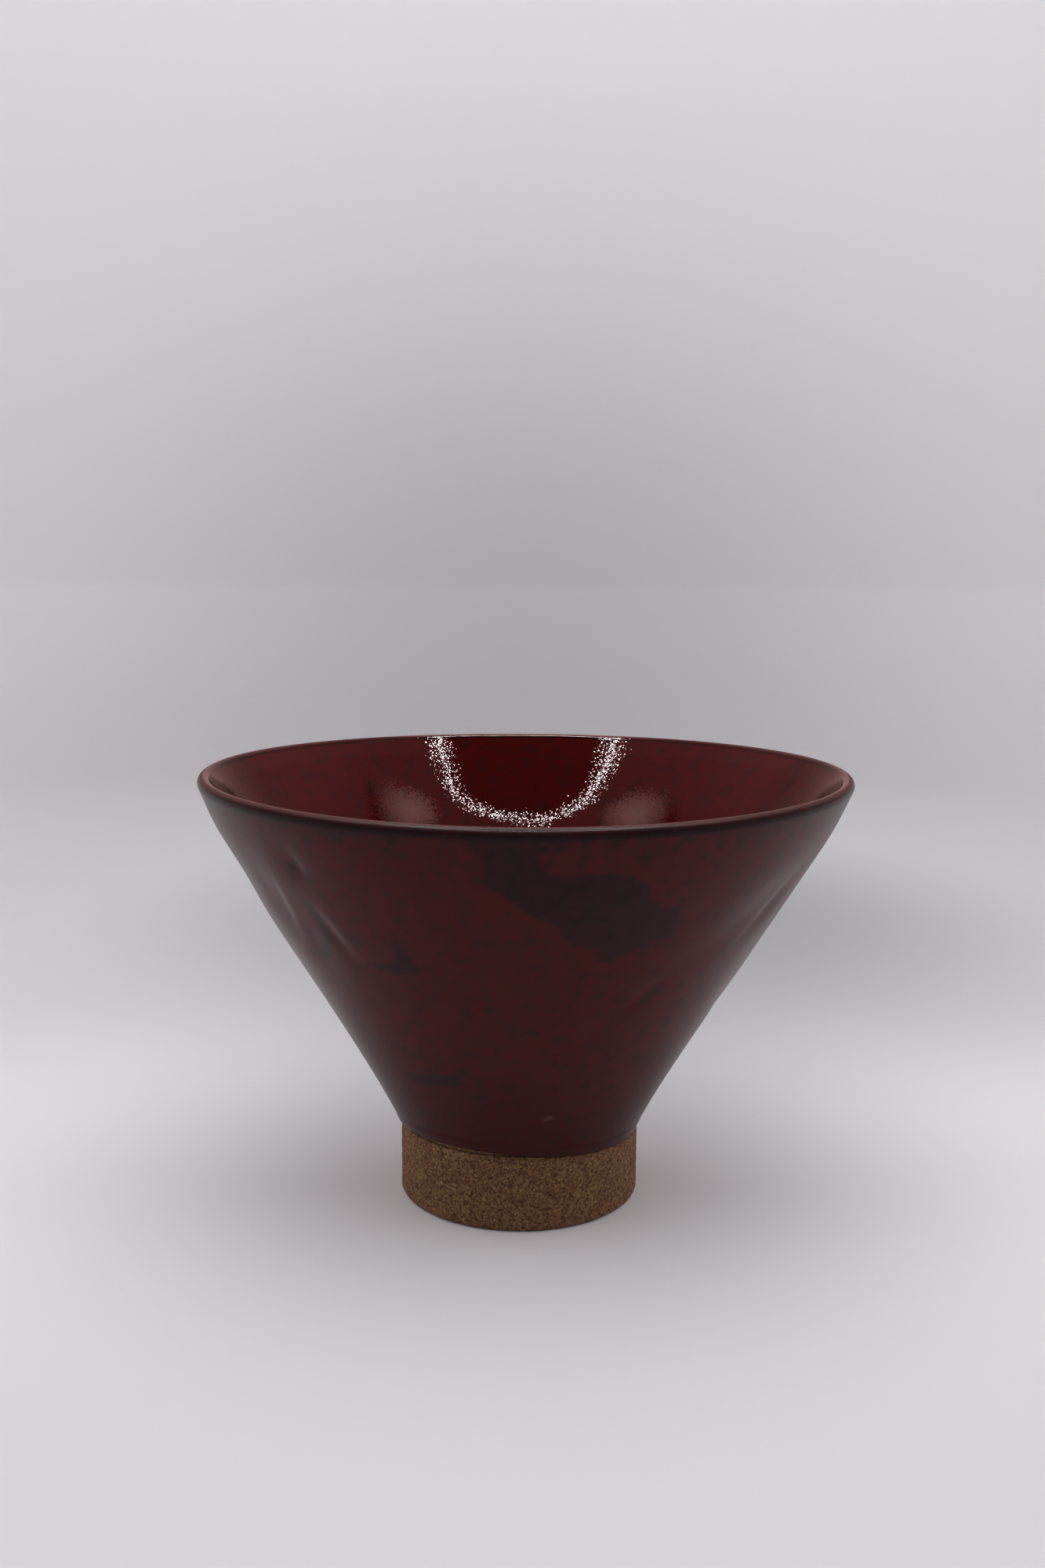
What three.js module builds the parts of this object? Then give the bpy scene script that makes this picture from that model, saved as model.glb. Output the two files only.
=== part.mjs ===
import * as THREE from 'three';

// A hand-thrown pedestal bowl: a conical cup joined with slip to a low upright collar, and glazed
// red inside and out down to a wavy line at the collar.
// Millimetres, +Z up. The collar stands on Z = 0 with its axis on Z. Angles go round from the
// front, -Y, towards +X.

// The whole vessel, measured over the glaze
const RIM_RADIUS = 75;
const HEIGHT = 101;

// The collar foot
const FOOT_RADIUS = 28.3;
const FOOT_HEIGHT = 16.3;
const FOOT_WALL = 6.2;
const FOOT_TOE_ROUND = 1.1;
const FOOT_INNER_ROUND = 1.6;
const FOOT_DRAFT_ANGLE = 3;
const JOINT_SHOULDER = 0.9;

// The cup's clay wall: the lean that each end has and how far it keeps it, and how the wall thins
// to the lip
const LEAN_AT_FOOT = 24.6;
const LEAN_AT_LIP = 25.6;
const FOOT_REACH = 24.4;
const LIP_REACH = 33.1;
const WALL = 5.2;
const LIP_THICKNESS = 1.7;
const LIP_TAPER = 27.5;

// The well inside, and the underside of its floor
const FLOOR = 6.5;
const WELL_ROUND = 15;
const FLOOR_HOLLOW = 1.2;

// The slip in the joint, pressed in behind a clay edge that hides it
const SLIP_THICKNESS = 0.6;
const SLIP_WIDTH = 3.4;
const PRESSED_EDGE = 1;

// The glaze coats
const GLAZE = 0.5;
const SKIN_GAP = 0.1;
const LIP_LAP = 4;
const ROLL_THICKNESS = 0.6;
const ROLL_LENGTH = 3.2;

// The glaze line round the collar: how far up the wall it ends, and how it rises and falls twice
// in a turn
const GLAZE_LINE = 1.65;
const GLAZE_WAVE = 1.5;
const GLAZE_WAVE_ANGLE = -32;

// What throwing left uneven: the rim stands off the foot's axis and rises at both sides
const RIM_OFFSET = 0.85;
const RIM_WAVE = 0.38;

// Finger dents and flats in the wall, pressed in from outside, so they swell the inside too.
// angle and height give the middle, width runs round the wall, length runs up it, turned by
// slant, and a negative depth is a swelling.
const DENTS = [
  { angle: -47, height: 70.3, width: 5.5, length: 9, slant: 24, depth: 0.9 },
  { angle: -56, height: 78.3, width: 4.5, length: 8, slant: 8, depth: 0.6 },
  { angle: -42, height: 89.3, width: 5, length: 4.5, slant: 20, depth: 0.4 },
  { angle: -88, height: 75.3, width: 34, length: 15, slant: 0, depth: -0.5 },
  { angle: -88, height: 100.3, width: 30, length: 7, slant: 0, depth: 0.4 },
  { angle: -88, height: 91.3, width: 30, length: 5, slant: 0, depth: -0.4 },
  { angle: -88, height: 79.3, width: 30, length: 6, slant: 0, depth: 0.7 },
  { angle: -88, height: 64.3, width: 30, length: 8, slant: 0, depth: -0.3 },
  { angle: 51, height: 77.3, width: 6, length: 17, slant: 60, depth: 0.8 },
  { angle: 88, height: 89.3, width: 30, length: 7.5, slant: 0, depth: -0.85 },
  { angle: 88, height: 66.3, width: 26, length: 7, slant: 0, depth: 0.3 },
  { angle: 67, height: 53.3, width: 7, length: 4, slant: 30, depth: 0.5 },
  { angle: 27, height: 59.3, width: 12, length: 3.5, slant: 20, depth: 0.35 },
];

// Facets of the turned surfaces
const ROUND_STEPS = 48;
const WALL_STEPS = 13;
const LIP_STEPS = 6;
const WELL_STEPS = 6;
const ROLL_STEPS = 4;
const EDGE_STEPS = 3;

const clayBrown = new THREE.MeshStandardMaterial({ color: 0x6a4f3b, roughness: 0.92, metalness: 0 });
const slipBrown = new THREE.MeshStandardMaterial({ color: 0x5a4434, roughness: 0.95, metalness: 0 });
const ironRed = new THREE.MeshStandardMaterial({ color: 0x4f1c1c, roughness: 0.3, metalness: 0 });
const liningRed = new THREE.MeshStandardMaterial({ color: 0x5c1716, roughness: 0.22, metalness: 0 });

const radians = THREE.MathUtils.degToRad;
const between = THREE.MathUtils.lerp;
const spread = (count, make) => Array.from({ length: count + 1 }, (_, i) => make(i / count));
const at = (radius, height) => new THREE.Vector2(radius, height);
const alongLean = (lean) => at(Math.sin(lean), Math.cos(lean));
const acrossLean = (lean) => at(Math.cos(lean), -Math.sin(lean));

// The cup's foot is drawn in from the collar's side by a small shoulder, which the glaze fills.
const cupFootRadius = FOOT_RADIUS - JOINT_SHOULDER;
const skin = SKIN_GAP + GLAZE;

// The clay lip is a half round whose two sides run into the wall.
const lipRound = LIP_THICKNESS / 2;
const lipCentre = at(RIM_RADIUS - skin - lipRound, HEIGHT - skin - lipRound);
const lipLean = radians(LEAN_AT_LIP);

// The outside of the clay wall, from the collar up to the lip.
function clayWallCurve() {
  const footLean = radians(LEAN_AT_FOOT);
  const start = at(cupFootRadius, FOOT_HEIGHT);
  const end = lipCentre.clone().addScaledVector(acrossLean(lipLean), lipRound);
  const startHandle = start.clone().addScaledVector(alongLean(footLean), FOOT_REACH);
  const endHandle = end.clone().addScaledVector(alongLean(lipLean), -LIP_REACH);
  return new THREE.CubicBezierCurve(start, startHandle, endHandle, end);
}

const wallCurve = clayWallCurve();
const wallLength = wallCurve.getLength();

// A point on the outside of the clay at a distance up the wall, raised off it by lift.
function outsideAt(distance, lift = 0) {
  const share = THREE.MathUtils.clamp(distance / wallLength, 0, 1);
  const along = wallCurve.getTangentAt(share);
  const point = wallCurve.getPointAt(share);
  point.addScaledVector(along, distance - share * wallLength);
  return point.add(at(along.y * lift, -along.x * lift));
}

// A point on the inside of the clay across from it. The wall thins more and more towards the
// lip, so that the inside flares open there.
function insideAt(distance, lift = 0) {
  const taper = THREE.MathUtils.clamp((wallLength - distance) / LIP_TAPER, 0, 1);
  return outsideAt(distance, -between(LIP_THICKNESS, WALL, Math.sin(taper * Math.PI / 2)) - lift);
}

// The distances up the wall at which clay and coats all have a ring, so that their facets lie
// side by side.
const lapEnd = wallLength - LIP_LAP;
const sharedRings = [...spread(WALL_STEPS, (share) => share * lapEnd), wallLength];

// Rings up or down the wall between two distances, at both ends and on the shared ones between.
function wallRings(from, to, place, lift) {
  const low = Math.min(from, to);
  const high = Math.max(from, to);
  const least = 0.1 * lapEnd / WALL_STEPS;
  const inside = sharedRings.filter((ring) => ring > low + least && ring < high - least);
  const distances = [low, ...inside, high];
  if (from > to) distances.reverse();
  return distances.map((distance) => place(distance, lift));
}

// The crest of the lip as an arc over its own centre, from the outside to the inside.
function lipRings(lift) {
  const reach = lipRound + lift;
  const arc = spread(LIP_STEPS, (share) => {
    const turn = share * Math.PI - lipLean;
    return at(lipCentre.x + reach * Math.cos(turn), lipCentre.y + reach * Math.sin(turn));
  });
  return arc.slice(1, -1);
}

// Where the inside of the wall turns into the well: the distance whose height is WELL_ROUND above
// the floor.
function wellStart() {
  const target = FOOT_HEIGHT + FLOOR + WELL_ROUND;
  let low = 0;
  let high = wallLength;
  for (let i = 0; i < 40; i += 1) {
    const middle = (low + high) / 2;
    if (insideAt(middle).y < target) low = middle;
    else high = middle;
  }
  return low;
}

const wellDistance = wellStart();

// The round bottom of the well, from the wall to the axis, raised off the clay by lift.
function wellRings(lift) {
  const start = insideAt(wellDistance);
  const down = start.clone().sub(insideAt(wellDistance + 1)).normalize();
  const floorHeight = FOOT_HEIGHT + FLOOR;
  const corner = start.clone().addScaledVector(down, (floorHeight - start.y) / down.y);
  const bowl = new THREE.QuadraticBezierCurve(start, corner, at(0, floorHeight));
  const rings = spread(WELL_STEPS, (share) => {
    const along = bowl.getTangent(share);
    return bowl.getPoint(share).add(at(along.y * lift, -along.x * lift));
  });
  rings[WELL_STEPS].setX(0);
  return rings.slice(1);
}

// Throwing's own unevenness, as one small move of a point of the true turned form at an angle
// round it.
function handThrown(point, angle) {
  const rise = THREE.MathUtils.clamp((point.y - FOOT_HEIGHT) / (HEIGHT - FOOT_HEIGHT), 0, 1);
  let pressed = 0;
  for (const dent of DENTS) {
    const turn = angle - radians(dent.angle);
    const around = point.x * Math.atan2(Math.sin(turn), Math.cos(turn));
    const up = point.y - dent.height;
    const lean = radians(dent.slant);
    const across = (around * Math.cos(lean) - up * Math.sin(lean)) / dent.width;
    const along = (around * Math.sin(lean) + up * Math.cos(lean)) / dent.length;
    pressed += dent.depth * Math.exp(-(across ** 2) - along ** 2);
  }
  const radius = point.x === 0 ? 0 : point.x - pressed * rise;
  const wave = RIM_WAVE * Math.cos(2 * (angle - Math.PI / 2)) * rise ** 2 * point.x / RIM_RADIUS;
  return new THREE.Vector3(
    radius * Math.sin(angle) + RIM_OFFSET * rise,
    -radius * Math.cos(angle),
    point.y + wave,
  );
}

// The faces of a lathed profile, each square cut along the diagonal that falls with the angle
// whichever way the profile runs, so that a coat and the clay under it are cut alike.
function facesCutAlike(profile) {
  const rings = profile.length;
  const faces = [];
  for (let step = 0; step < ROUND_STEPS; step += 1) {
    for (let ring = 0; ring < rings - 1; ring += 1) {
      const here = step * rings + ring;
      const across = here + rings;
      const rises = profile[ring + 1].y > profile[ring].y;
      if (rises) faces.push(here, across, here + 1, across + 1, here + 1, across);
      else faces.push(here, across, across + 1, here, across + 1, here + 1);
    }
  }
  return faces;
}

// A body of revolution about Z. profileAt gives the profile at an angle, always with as many
// points, running so that the solid lies on its left.
function turned(name, profileAt, material) {
  const geometry = new THREE.LatheGeometry(profileAt(0), ROUND_STEPS);
  geometry.setIndex(facesCutAlike(profileAt(0)));
  const places = geometry.attributes.position;
  const rings = places.count / (ROUND_STEPS + 1);
  for (let step = 0; step <= ROUND_STEPS; step += 1) {
    const angle = 2 * Math.PI * (step % ROUND_STEPS) / ROUND_STEPS;
    profileAt(angle).forEach((point, ring) => {
      const place = handThrown(point, angle);
      places.setXYZ(step * rings + ring, place.x, place.y, place.z);
    });
  }
  geometry.computeVertexNormals();
  const mesh = new THREE.Mesh(geometry, material);
  mesh.name = name;
  return mesh;
}

// The cup of clay: up the outside, over the lip, down the inside and back under the floor.
function bowlBody() {
  const underEdge = FOOT_RADIUS - FOOT_WALL;
  const profile = [
    at(0, FOOT_HEIGHT + FLOOR_HOLLOW),
    at(underEdge / 2, FOOT_HEIGHT + FLOOR_HOLLOW * 0.75),
    at(underEdge, FOOT_HEIGHT),
    ...wallRings(0, wallLength, outsideAt, 0),
    ...lipRings(0),
    ...wallRings(wallLength, wellDistance, insideAt, 0),
    ...wellRings(0),
  ];
  return turned('bowl_body', () => profile, clayBrown);
}

// How far the glaze line takes a ring of the outer coat up or down the wall at an angle.
function lineSlide(distance, angle) {
  const fade = 1 - THREE.MathUtils.smoothstep(distance, ROLL_LENGTH, 4 * ROLL_LENGTH);
  return GLAZE_WAVE * Math.cos(2 * (angle - radians(GLAZE_WAVE_ANGLE))) * fade;
}

// The outer coat: a rolled lower edge, up the wall, over the lip and a little way down inside,
// then back along the clay.
function outerGlaze() {
  const rollEnd = GLAZE_LINE + ROLL_LENGTH;
  const profileAt = (angle) => {
    const slidAt = (distance, lift) => outsideAt(distance + lineSlide(distance, angle), lift);
    const roll = spread(ROLL_STEPS, (share) => {
      const swell = between(GLAZE, ROLL_THICKNESS, Math.sqrt(Math.sin(share * Math.PI)));
      const thickness = share === 0 ? GLAZE / 2 : swell;
      return slidAt(GLAZE_LINE + share * ROLL_LENGTH, SKIN_GAP + thickness);
    });
    const outer = [
      ...roll,
      ...wallRings(rollEnd, wallLength, slidAt, skin).slice(1),
      ...lipRings(skin),
      insideAt(wallLength, skin),
      insideAt(lapEnd, skin),
    ];
    const inner = [
      insideAt(lapEnd, SKIN_GAP),
      insideAt(wallLength, SKIN_GAP),
      ...lipRings(SKIN_GAP).reverse(),
      ...wallRings(wallLength, rollEnd, slidAt, SKIN_GAP),
      slidAt(GLAZE_LINE, SKIN_GAP),
    ];
    return [...outer, ...inner, outer[0]];
  };
  return turned('outer_glaze', profileAt, ironRed);
}

// The lining coat: down the inside from under the lip to the middle of the well, and back up
// against the clay.
function liningGlaze() {
  const top = lapEnd - SKIN_GAP;
  const profile = [
    ...wellRings(SKIN_GAP).reverse(),
    ...wallRings(wellDistance, top, insideAt, SKIN_GAP),
    ...wallRings(top, wellDistance, insideAt, skin),
    ...wellRings(skin),
  ];
  return turned('lining_glaze', () => profile, liningRed);
}

// A quarter round between two sides of a profile, from one turn to another about its centre.
function quarterRound(centre, radius, fromTurn, toTurn) {
  return spread(EDGE_STEPS, (share) => {
    const turn = radians(between(fromTurn, toTurn, share));
    return at(centre.x + radius * Math.cos(turn), centre.y + radius * Math.sin(turn));
  });
}

const slipSeat = FOOT_HEIGHT - 2 * SKIN_GAP - SLIP_THICKNESS;
const slipOuter = cupFootRadius - PRESSED_EDGE - SKIN_GAP;

// The collar: a flat ring to stand on with both edges rounded, a drafted hollow inside, and a
// shallow seat for the slip behind the edge that is pressed up to the cup.
function footRing() {
  const hollowTop = FOOT_RADIUS - FOOT_WALL;
  const hollowToe = hollowTop + slipSeat * Math.tan(radians(FOOT_DRAFT_ANGLE));
  const topEdge = FOOT_HEIGHT - SKIN_GAP;
  const outerToe = at(FOOT_RADIUS - FOOT_TOE_ROUND, FOOT_TOE_ROUND);
  const innerToe = at(hollowToe + FOOT_INNER_ROUND, FOOT_INNER_ROUND);
  const profile = [
    ...quarterRound(innerToe, FOOT_INNER_ROUND, 180, 270),
    ...quarterRound(outerToe, FOOT_TOE_ROUND, 270, 360),
    at(FOOT_RADIUS, topEdge - JOINT_SHOULDER),
    at(cupFootRadius, topEdge),
    at(cupFootRadius - PRESSED_EDGE, topEdge),
    at(cupFootRadius - PRESSED_EDGE, slipSeat),
    at(hollowTop, slipSeat),
  ];
  return turned('foot_ring', () => [...profile, profile[0]], clayBrown);
}

// The slip in its seat, with a run-out of squeezed clay towards the hollow.
function lutingSlip() {
  const low = slipSeat + SKIN_GAP;
  const high = low + SLIP_THICKNESS;
  const inner = slipOuter - SLIP_WIDTH;
  const middle = (low + high) / 2;
  const profile = [
    at(inner, middle),
    at(inner + SLIP_THICKNESS, low),
    at(slipOuter, low),
    at(slipOuter, high),
    at(inner + SLIP_THICKNESS, high),
  ];
  return turned('luting_slip', () => [...profile, profile[0]], slipBrown);
}

const pedestalBowl = new THREE.Group();
pedestalBowl.name = 'pedestal_bowl';
pedestalBowl.add(footRing(), lutingSlip(), bowlBody(), outerGlaze(), liningGlaze());

export default pedestalBowl;
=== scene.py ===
import bpy
import numpy as np
from mathutils import Matrix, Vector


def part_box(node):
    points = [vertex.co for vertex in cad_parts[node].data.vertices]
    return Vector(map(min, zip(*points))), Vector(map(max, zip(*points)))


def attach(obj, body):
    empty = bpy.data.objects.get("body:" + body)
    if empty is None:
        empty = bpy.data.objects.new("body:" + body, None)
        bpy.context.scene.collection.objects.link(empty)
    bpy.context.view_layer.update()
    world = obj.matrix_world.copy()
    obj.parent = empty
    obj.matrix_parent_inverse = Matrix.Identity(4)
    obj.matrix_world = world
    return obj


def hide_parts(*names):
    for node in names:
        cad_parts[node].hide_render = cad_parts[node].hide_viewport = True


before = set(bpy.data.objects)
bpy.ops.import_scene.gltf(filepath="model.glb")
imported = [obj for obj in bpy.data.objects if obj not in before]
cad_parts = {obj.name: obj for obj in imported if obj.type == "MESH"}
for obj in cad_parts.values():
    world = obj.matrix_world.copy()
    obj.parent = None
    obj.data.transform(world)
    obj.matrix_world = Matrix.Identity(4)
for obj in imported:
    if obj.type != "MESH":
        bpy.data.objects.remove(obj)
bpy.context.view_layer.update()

# The collar foot: a low upright ring thrown in coarse grogged stoneware and left bare. It was
# trimmed with a plain edge, so its sides and its resting ring show the sand and grog in the clay.
# All lengths are in millimetres until a mesh is made. Angles go round from the front, -Y, to +X.
FOOT_WALL = 6.2
FOOT_TOE_ROUND = 1.1
FOOT_INNER_ROUND = 1.6
FOOT_DRAFT = np.radians(3)
JOINT_SHOULDER = 0.9
SLIP_THICKNESS = 0.6
PRESSED_EDGE = 1.0
SKIN_GAP = 0.1
CUP_LEAN = np.radians(24.6)
GLAZE_LINE = 1.65
GLAZE_WAVE = 1.5
GLAZE_WAVE_ANGLE = np.radians(-32)
SMEAR_GAP = 0.08
SMEAR_SHORT_OF_GLAZE = 0.15
SMEAR_SHORT_OF_SHOULDER = 0.1
FOOT_SIDE_START = 0.3
FOOT_TURNS = 600
CLAY_LUMP, CLAY_LUMP_DEPTH = 4.0, 0.10
CLAY_GRIT, CLAY_GRIT_DEPTH = 0.8, 0.10
PIT_SIZE, PIT_DEPTH, PIT_SHARE = 1.3, 0.5, 0.72
# One larger pit where a grain tore out: its angle, height, size and depth.
TORN_PIT = (15.0, 8.0, 0.8, 0.7)
LATTICE = 64
# Colour patterns in the clay: single grains, fine sand, and clouds where it fired redder.
GRAIN, SAND, RUST_CLOUD = 0.46, 0.8, 4.5

foot_radius = 1000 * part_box("foot_ring")[1].x
foot_height = 1000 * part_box("bowl_body")[0].z
slip_seat = foot_height - 2 * SKIN_GAP - SLIP_THICKNESS


def linear(colour):
    """The linear RGBA of an sRGB colour written as 0xRRGGBB."""
    parts = np.array([colour >> 16 & 255, colour >> 8 & 255, colour & 255]) / 255
    curve = np.where(parts <= 0.04045, parts / 12.92, ((parts + 0.055) / 1.055) ** 2.4)
    return (*curve, 1.0)


def node(tree, kind, inputs, **settings):
    """Adds a shader node. settings are its own fields, and inputs gives each socket, by name or
    number, a value or the output that feeds it. A Mix node's two colours are sockets 6 and 7,
    and its result is output 2."""
    made = tree.nodes.new("ShaderNode" + kind)
    for name, value in settings.items():
        setattr(made, name, value)
    for key, value in inputs.items():
        if isinstance(value, bpy.types.NodeSocket):
            tree.links.new(value, made.inputs[key])
        else:
            made.inputs[key].default_value = value
    return made


def new_material(name, kind="BsdfPrincipled"):
    """A node material with one shader of a kind, its node tree, the shader, and its Object
    coordinates."""
    material = bpy.data.materials.new(name)
    material.use_nodes = True
    tree = material.node_tree
    tree.nodes.clear()
    shader = tree.nodes.new("ShaderNode" + kind)
    node(tree, "OutputMaterial", {0: shader.outputs[0]})
    return material, tree, shader, tree.nodes.new("ShaderNodeTexCoord").outputs["Object"]


def arc(centre, radius, first, last, count):
    """Points of a circle round a centre, from one turn in degrees to another."""
    turn = np.radians(np.linspace(first, last, count))
    return np.stack([centre[0] + radius * np.cos(turn), centre[1] + radius * np.sin(turn)], -1)


def evenly(points, count, closed):
    """Count points at equal steps along a line through the given ones, back to the first one
    if it is closed."""
    line = np.vstack([points, points[:1]]) if closed else np.array(points)
    run = np.concatenate([[0], np.cumsum(np.linalg.norm(np.diff(line, axis=0), axis=1))])
    place = np.linspace(0, run[-1], count, endpoint=not closed)
    return np.stack([np.interp(place, run, line[:, 0]), np.interp(place, run, line[:, 1])], -1)


def lumps(places, size, seed):
    """Smooth random relief from -1 to 1: a random number at each corner of a cubic lattice with
    cells of the given size, blended between the eight corners round a place by an ease curve."""
    table = np.random.default_rng(seed).uniform(-1, 1, (LATTICE, LATTICE, LATTICE))
    low = np.floor(places / size).astype(int)
    share = places / size - low
    ease = share * share * (3 - 2 * share)
    total = 0
    for corner in np.ndindex(2, 2, 2):
        weight = np.prod(np.where(corner, ease, 1 - ease), axis=-1)
        i, j, k = np.moveaxis((low + corner) % LATTICE, -1, 0)
        total = total + weight * table[i, j, k]
    return total


def facing(places):
    """Outward unit normals of a grid of places: the step round the axis crossed with the step
    along the profile."""
    around = np.roll(places, -1, 0) - np.roll(places, 1, 0)
    along = np.roll(places, -1, 1) - np.roll(places, 1, 1)
    normal = np.cross(around, along)
    return normal / np.maximum(np.linalg.norm(normal, axis=-1, keepdims=True), 1e-9)


def add_mesh(name, places, faces):
    """A smooth mesh as an object at the origin, from places in millimetres and the corners of
    its faces."""
    mesh = bpy.data.meshes.new(name)
    mesh.from_pydata((places.reshape(-1, 3) / 1000).tolist(), [], faces)
    mesh.shade_smooth()
    piece = bpy.data.objects.new(name, mesh)
    bpy.context.scene.collection.objects.link(piece)
    return piece


def skin_mesh(name, places, poles=False, attributes=None):
    """A closed skin over a grid of places in millimetres: turns round the axis by points along
    the profile, which closes on itself or, with poles, starts and ends on the axis. The values
    in attributes lie on the same grid."""
    turns, points = places.shape[:2]
    number = np.arange(turns * points).reshape(turns, points)
    if poles:
        number[:, 0] = number[0, 0]
        number[:, -1] = number[0, -1]
    along = number if poles else np.concatenate([number, number[:, :1]], 1)
    across = np.roll(along, -1, 0)
    squares = np.stack([along[:, :-1], across[:, :-1], across[:, 1:], along[:, 1:]], -1)
    used, squares = np.unique(squares.reshape(-1, 4), return_inverse=True)
    squares = squares.reshape(-1, 4)
    at_low_pole = squares[:, 0] == squares[:, 1]
    at_high_pole = squares[:, 2] == squares[:, 3]
    faces = squares[~(at_low_pole | at_high_pole)].tolist()
    faces += squares[at_low_pole][:, [0, 2, 3]].tolist()
    faces += squares[at_high_pole][:, [0, 1, 2]].tolist()
    piece = add_mesh(name, places.reshape(-1, 3)[used], faces)
    for label, values in (attributes or {}).items():
        field = piece.data.attributes.new(label, "FLOAT", "POINT")
        field.data.foreach_set("value", values.reshape(-1)[used].astype(np.float32))
    return piece


def angles(turns):
    """Equal turns round the axis, as a column."""
    return np.linspace(0, 2 * np.pi, turns, endpoint=False)[:, None]


def turned(profile, angle):
    """A profile of radius and height, or one for each angle, carried round the axis."""
    radius, height = profile[..., 0], profile[..., 1]
    return np.stack([radius * np.sin(angle), -radius * np.cos(angle), height + 0 * angle], -1)


def gritty(places, seed):
    """Clay as it left the trimming tool: soft lumps, the grit of sand and grog, and pits where
    grains were torn out, all pressed inwards so that the piece keeps its outer size."""
    lump = 0.5 + 0.5 * lumps(places, CLAY_LUMP, seed)
    grit = 0.5 + 0.5 * lumps(places, CLAY_GRIT, seed + 1)
    pits = np.clip(lumps(places, PIT_SIZE, seed + 2) - PIT_SHARE, 0, None) / (1 - PIT_SHARE)
    turn, level, size, torn_depth = TORN_PIT
    middle = [foot_radius * np.sin(np.radians(turn)), -foot_radius * np.cos(np.radians(turn)),
              level]
    torn = torn_depth * np.exp(-(np.linalg.norm(places - middle, axis=-1) / size) ** 4)
    depth = CLAY_LUMP_DEPTH * lump + CLAY_GRIT_DEPTH * grit + PIT_DEPTH * pits + torn
    return places - depth[..., None] * facing(places)


def foot_profile(smear):
    """The collar's section: the resting ring with both edges rounded, up the plain side, over
    the clay smeared a distance up the cup's wall to close the joint, across the slip's seat, and
    down the drafted hollow. Each point moves in proportion to the smear."""
    hollow = foot_radius - FOOT_WALL
    toe = hollow + slip_seat * np.tan(FOOT_DRAFT)
    top = foot_height - SKIN_GAP
    edge = foot_radius - JOINT_SHOULDER
    inner_toe = (toe + FOOT_INNER_ROUND, FOOT_INNER_ROUND)
    outer_toe = (foot_radius - FOOT_TOE_ROUND, FOOT_TOE_ROUND)
    shoulder = (foot_radius, top - JOINT_SHOULDER)
    smeared = (edge + smear * np.sin(CUP_LEAN) + SMEAR_GAP * np.cos(CUP_LEAN),
               foot_height + smear * np.cos(CUP_LEAN) - SMEAR_GAP * np.sin(CUP_LEAN))
    inside = edge - PRESSED_EDGE
    return np.vstack([
        evenly(np.vstack([arc(inner_toe, FOOT_INNER_ROUND, 180, 270, 12),
                          arc(outer_toe, FOOT_TOE_ROUND, 270, 360, 12)]), 40, False),
        evenly([(foot_radius, FOOT_TOE_ROUND + FOOT_SIDE_START), shoulder], 58, False),
        evenly([shoulder, smeared], 9, False)[1:],
        [(edge + SMEAR_GAP, top)],
        evenly([(edge, top), (inside, top), (inside, slip_seat), (hollow, slip_seat)], 10, False),
        evenly([(hollow, slip_seat), (toe, FOOT_INNER_ROUND)], 32, False)[1:-1],
    ])


def grogged_stoneware():
    """Grogged stoneware, wood-brown after firing: a coarse clay body packed with tan, pale and
    dark grains of about half a millimetre, rough and without any shine, and redder in clouds of
    a few millimetres."""
    material, tree, shader, place = new_material("grogged_stoneware")
    grains = node(tree, "TexVoronoi", {"Vector": place, "Scale": 1000 / GRAIN})
    kind = node(tree, "SeparateColor", {"Color": grains.outputs["Color"]})
    sand = node(tree, "TexNoise", {"Vector": place, "Scale": 1000 / SAND, "Detail": 4.0,
                                   "Roughness": 0.7})
    tone = node(tree, "Math", {0: kind.outputs[0], 1: sand.outputs[0]}, operation="ADD")
    pale = node(tree, "MapRange", {"Value": tone.outputs[0], "From Min": 0.45,
                                   "From Max": 1.45})
    body = node(tree, "Mix", {0: pale.outputs[0], 6: linear(0x3F2B1E), 7: linear(0x836342)},
                data_type="RGBA")
    cloud = node(tree, "TexNoise", {"Vector": place, "Scale": 1000 / RUST_CLOUD,
                                    "Detail": 3.0, "Roughness": 0.6})
    rust = node(tree, "MapRange", {"Value": cloud.outputs[0], "From Min": 0.45,
                                   "From Max": 0.66, "To Min": 0.0, "To Max": 0.4})
    coloured = node(tree, "Mix", {0: rust.outputs[0], 6: body.outputs[2],
                                  7: linear(0x5B3427)}, data_type="RGBA").outputs[2]
    core = node(tree, "MapRange", {"Value": grains.outputs["Distance"], "From Min": 0.3,
                                   "From Max": 0.6, "To Min": 0.8, "To Max": 0.0})
    for channel, share, colour in ((1, 0.95, 0x9B7F62), (2, 0.95, 0x241812)):
        chosen = node(tree, "Math", {0: kind.outputs[channel], 1: share},
                      operation="GREATER_THAN")
        spot = node(tree, "Math", {0: chosen.outputs[0], 1: core.outputs[0]},
                    operation="MULTIPLY")
        coloured = node(tree, "Mix", {0: spot.outputs[0], 6: coloured, 7: linear(colour)},
                        data_type="RGBA").outputs[2]
    tree.links.new(coloured, shader.inputs["Base Color"])
    relief = node(tree, "Math", {0: sand.outputs[0], 1: grains.outputs["Distance"]},
                  operation="SUBTRACT")
    bump = node(tree, "Bump", {"Height": relief.outputs[0], "Strength": 0.6, "Distance": 0.0002})
    tree.links.new(bump.outputs[0], shader.inputs["Normal"])
    shader.inputs["Roughness"].default_value = 0.95
    shader.inputs["Specular IOR Level"].default_value = 0.25
    return material


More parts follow.
